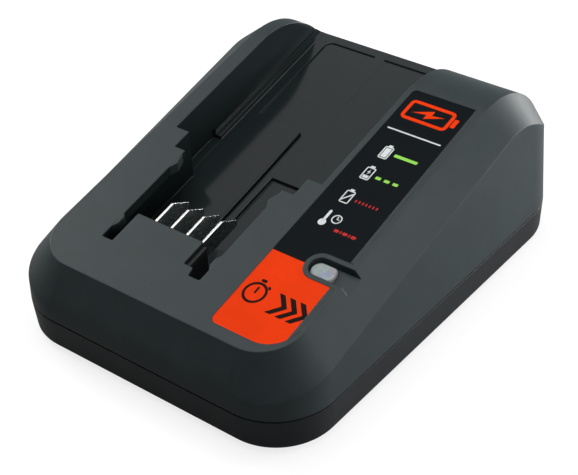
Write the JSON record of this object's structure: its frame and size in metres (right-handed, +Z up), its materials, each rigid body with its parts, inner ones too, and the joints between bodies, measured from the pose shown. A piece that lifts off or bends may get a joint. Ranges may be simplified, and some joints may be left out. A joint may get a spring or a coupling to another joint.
{
  "type": "power tool battery charger",
  "caption": "Wedge-shaped desktop charger with an open bay for a slide-on tool battery, fixed contact blades and a status panel with a light window.",
  "frame": {"origin": "centre of the footprint, on the surface that the feet stand on", "axes": "+X to the right seen from the low front edge, +Y to the rear where the battery slides in, +Z up"},
  "size_m": [0.115, 0.1526, 0.0572],
  "materials": {
    "shell_upper": "fine spark texture",
    "shell_base": "fine spark texture",
    "label_black": "satin film",
    "label_orange": "satin film",
    "lens_clear": "frosted clear",
    "led_body": "gloss",
    "block_plastic": "moulded",
    "blade_metal": "bright tin plate",
    "board": "solder mask",
    "ferrite": "sintered",
    "bobbin_plastic": "moulded",
    "copper_wire": "yellow tape over enamelled wire",
    "can_sleeve": "shrink sleeve",
    "film_box": "moulded box",
    "chip_black": "moulded",
    "fuse_glass": "glass and nickel caps",
    "connector_white": "nylon",
    "sink_aluminium": "milled",
    "gland_rubber": "soft black",
    "screw_steel": "zinc plated",
    "foot_rubber": "soft black"
  },
  "bodies": {
    "root": {"upper_housing": "shell_upper", "base_housing": "shell_base", "status_label": "label_black", "accent_label": "label_orange", "led_lens": "lens_clear", "status_led": "led_body", "terminal_block": "block_plastic", "contact_positive": "blade_metal", "contact_sense": "blade_metal", "contact_identity": "blade_metal", "contact_negative": "blade_metal", "circuit_board": "board", "transformer_core": "ferrite", "transformer_bobbin": "bobbin_plastic", "transformer_winding": "copper_wire", "choke_core": "ferrite", "choke_winding": "copper_wire", "input_capacitor": "can_sleeve", "output_capacitors": "can_sleeve", "filter_capacitor": "film_box", "bridge_rectifier": "chip_black", "input_fuse": "fuse_glass", "mains_terminals": "connector_white", "primary_heat_sink": "sink_aluminium", "switching_transistor": "chip_black", "secondary_heat_sink": "sink_aluminium", "output_diode": "chip_black", "controller_chip": "chip_black", "optocoupler": "chip_black", "cord_gland": "gland_rubber", "housing_screws": "screw_steel", "board_screws": "screw_steel", "rubber_feet": "foot_rubber"}
  },
  "joints": []
}
